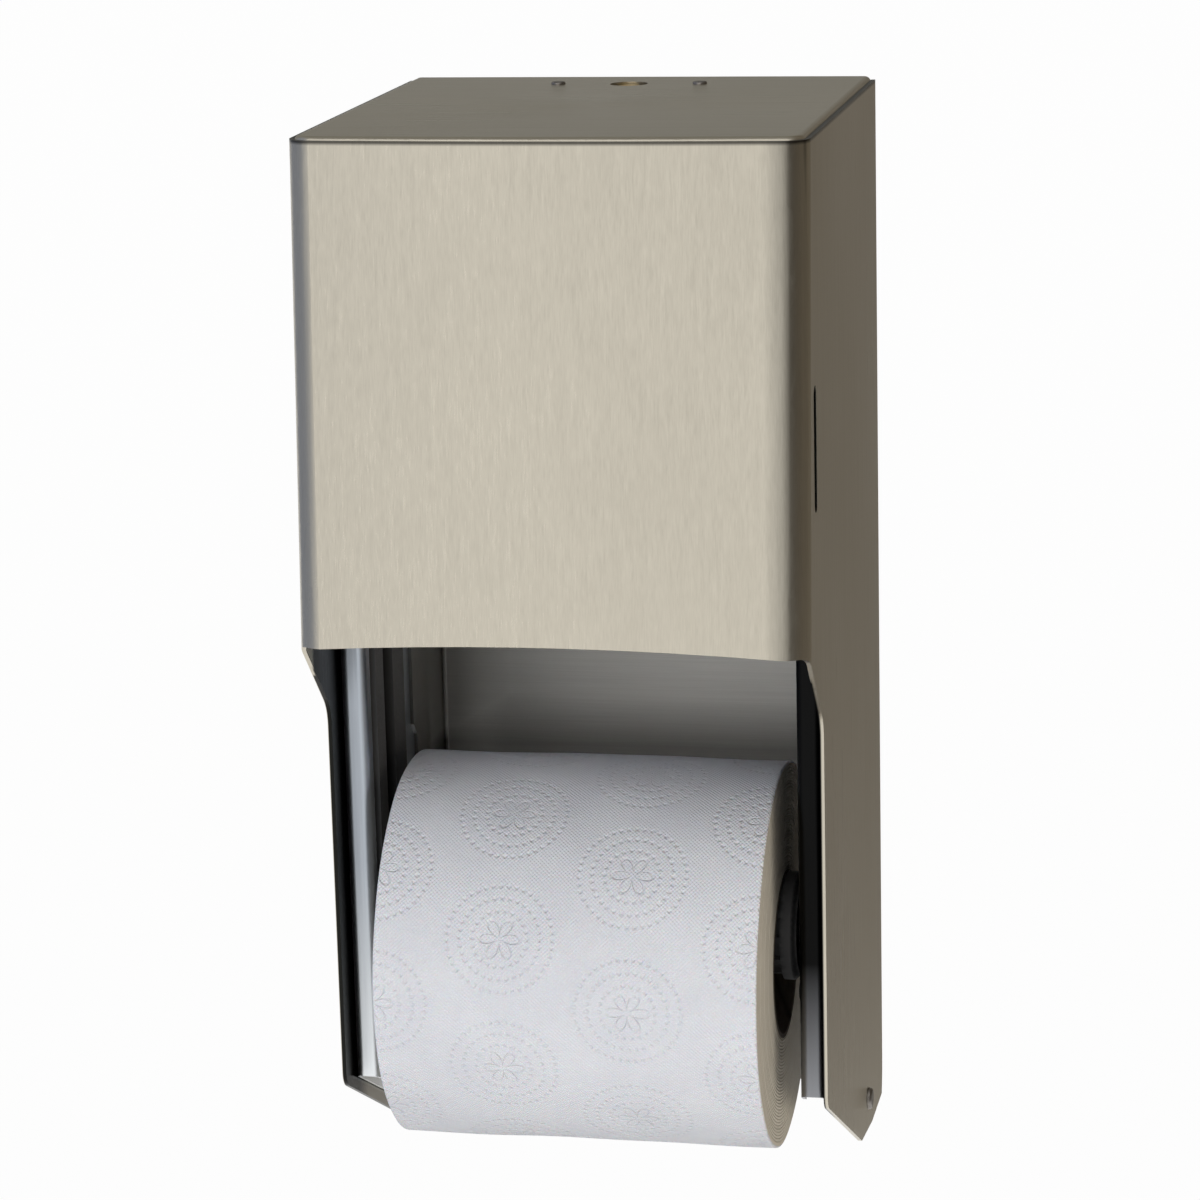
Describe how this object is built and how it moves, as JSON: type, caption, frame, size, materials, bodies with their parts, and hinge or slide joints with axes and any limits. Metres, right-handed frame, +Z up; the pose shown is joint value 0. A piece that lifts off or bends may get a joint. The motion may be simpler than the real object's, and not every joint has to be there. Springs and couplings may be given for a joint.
{
  "type": "two-roll toilet paper dispenser",
  "caption": "Wall dispenser for two toilet rolls, one over the other, with a locked stainless cover that hinges down at its foot, guide rails, spindles and reserve catches.",
  "frame": {"origin": "middle of the four wall screws, on the back face of the back plate, which lies on the wall", "axes": "+Z up, -Y out of the wall towards the user, +X to the right as seen from the front"},
  "size_m": [0.1428, 0.1543, 0.3167],
  "materials": {
    "stainless_cover": "satin",
    "stainless_inner": "satin",
    "rivet_steel": "satin",
    "brass_lock": "satin",
    "black_plastic": "satin",
    "core_card": "matte",
    "roll_paper": "matte"
  },
  "bodies": {
    "chassis": {"back_plate": "stainless_inner", "right_side_plate": "stainless_inner", "left_side_plate": "stainless_inner", "side_plate_rivets": "rivet_steel", "right_guide_rail": "black_plastic", "left_guide_rail": "black_plastic", "guide_rail_rivets": "rivet_steel", "lock_strike": "stainless_inner", "strike_rivets": "rivet_steel", "right_hinge_rivet": "rivet_steel", "left_hinge_rivet": "rivet_steel", "right_hinge_washer": "black_plastic", "left_hinge_washer": "black_plastic"},
    "cover": {"cover_shell": "stainless_cover", "top_pan": "stainless_cover", "lock_bracket": "stainless_inner", "lock_rivets": "rivet_steel"},
    "lock": {"lock_barrel": "brass_lock", "lock_cam": "rivet_steel", "cam_screw": "rivet_steel"},
    "right_slide": {"right_reserve_slide": "black_plastic"},
    "left_slide": {"left_reserve_slide": "black_plastic"},
    "lower_spindle": {"lower_spindle_barrel": "black_plastic", "lower_spindle_right_end": "black_plastic", "lower_spindle_left_end": "black_plastic"},
    "reserve_spindle": {"reserve_spindle_barrel": "black_plastic", "reserve_spindle_right_end": "black_plastic", "reserve_spindle_left_end": "black_plastic"},
    "lower_roll": {"lower_roll_core": "core_card", "lower_roll_paper": "roll_paper"},
    "reserve_roll": {"reserve_roll_core": "core_card", "reserve_roll_paper": "roll_paper"}
  },
  "joints": [
    {"name": "cover_hinge", "type": "hinge", "parent": "chassis", "child": "cover", "pos_m": [0, -0.0355, -0.145], "axis": [1, 0, 0], "range_deg": [0, 110]},
    {"name": "lock_turn", "type": "hinge", "parent": "cover", "child": "lock", "pos_m": [0, -0.0188, 0.149], "axis": [0, 0, 1], "range_deg": [0, 90]},
    {"name": "right_slide_travel", "type": "slide", "parent": "chassis", "child": "right_slide", "axis": [0, 1, 0], "range_m": [0, 0.0105]},
    {"name": "left_slide_travel", "type": "slide", "parent": "chassis", "child": "left_slide", "axis": [0, 1, 0], "range_m": [0, 0.0105]},
    {"name": "lower_roll_spin", "type": "hinge", "parent": "chassis", "child": "lower_roll", "pos_m": [0, -0.092, -0.08005], "axis": [1, 0, 0], "continuous": true},
    {"name": "reserve_roll_spin", "type": "hinge", "parent": "chassis", "child": "reserve_roll", "pos_m": [0, -0.092, 0.06945], "axis": [1, 0, 0], "continuous": true},
    {"name": "lower_spindle_spin", "type": "hinge", "parent": "chassis", "child": "lower_spindle", "pos_m": [0, -0.092, -0.0715], "axis": [1, 0, 0], "continuous": true},
    {"name": "reserve_spindle_spin", "type": "hinge", "parent": "chassis", "child": "reserve_spindle", "pos_m": [0, -0.092, 0.078], "axis": [1, 0, 0], "continuous": true}
  ],
  "couplings": [
    {"joint": "lower_spindle_spin", "follows": "lower_roll_spin", "ratio": 1.6357},
    {"joint": "reserve_spindle_spin", "follows": "reserve_roll_spin", "ratio": 1.6357}
  ]
}
